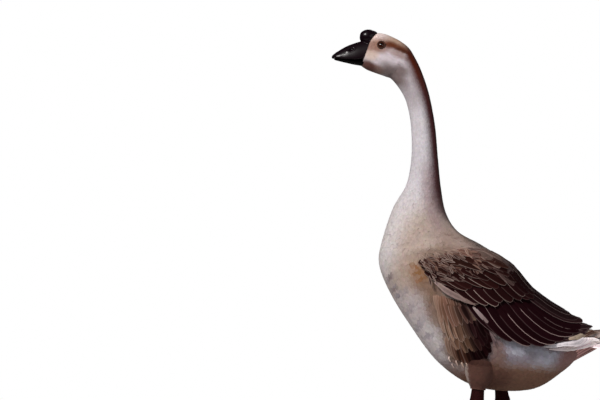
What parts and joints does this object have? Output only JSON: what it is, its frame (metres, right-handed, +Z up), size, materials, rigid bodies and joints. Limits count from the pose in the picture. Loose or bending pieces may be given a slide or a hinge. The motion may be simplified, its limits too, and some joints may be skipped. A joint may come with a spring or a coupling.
{
  "type": "yangjiang goose",
  "caption": "Life-size still model of a standing Yangjiang goose gander, neck upright, wings folded, with a dark mane line and a black knobbed bill.",
  "frame": {"origin": "on the floor, under the middle of the bounding box", "axes": "+Z up, bill towards -X, tail towards +X, the bird's left side towards -Y"},
  "size_m": [0.512, 0.1914, 0.7591],
  "materials": {
    "head_feathers": "short soft feathers, pale with a brown band behind the eye",
    "neck_feathers": "soft pale feathers with a dark brown band down the back",
    "body_feathers": "matt contour feathers, beige on the breast to white under the tail",
    "wing_feathers": "dark grey-brown vanes with thin pale edges, slight sheen",
    "tail_feathers": "pale vanes with grey-brown middles",
    "bill": "smooth black horn, glossy",
    "eye": "wet gloss, brown iris and black pupil",
    "leg_skin": "scaled dark brown skin, satin",
    "claw": "dark horn, satin"
  },
  "bodies": {
    "root": {"bill_lower": "bill", "bill_upper": "bill", "claw_left_hind": "claw", "claw_left_inner": "claw", "claw_left_middle": "claw", "claw_left_outer": "claw", "claw_right_hind": "claw", "claw_right_inner": "claw", "claw_right_middle": "claw", "claw_right_outer": "claw", "eye_left": "eye", "eye_right": "eye", "foot_left": "leg_skin", "foot_right": "leg_skin", "head": "head_feathers", "knob": "bill", "neck": "neck_feathers", "shank_left": "leg_skin", "shank_right": "leg_skin", "tail": "tail_feathers", "thigh_left": "body_feathers", "thigh_right": "body_feathers", "torso": "body_feathers", "wing_left": "wing_feathers", "wing_right": "wing_feathers"}
  },
  "joints": []
}
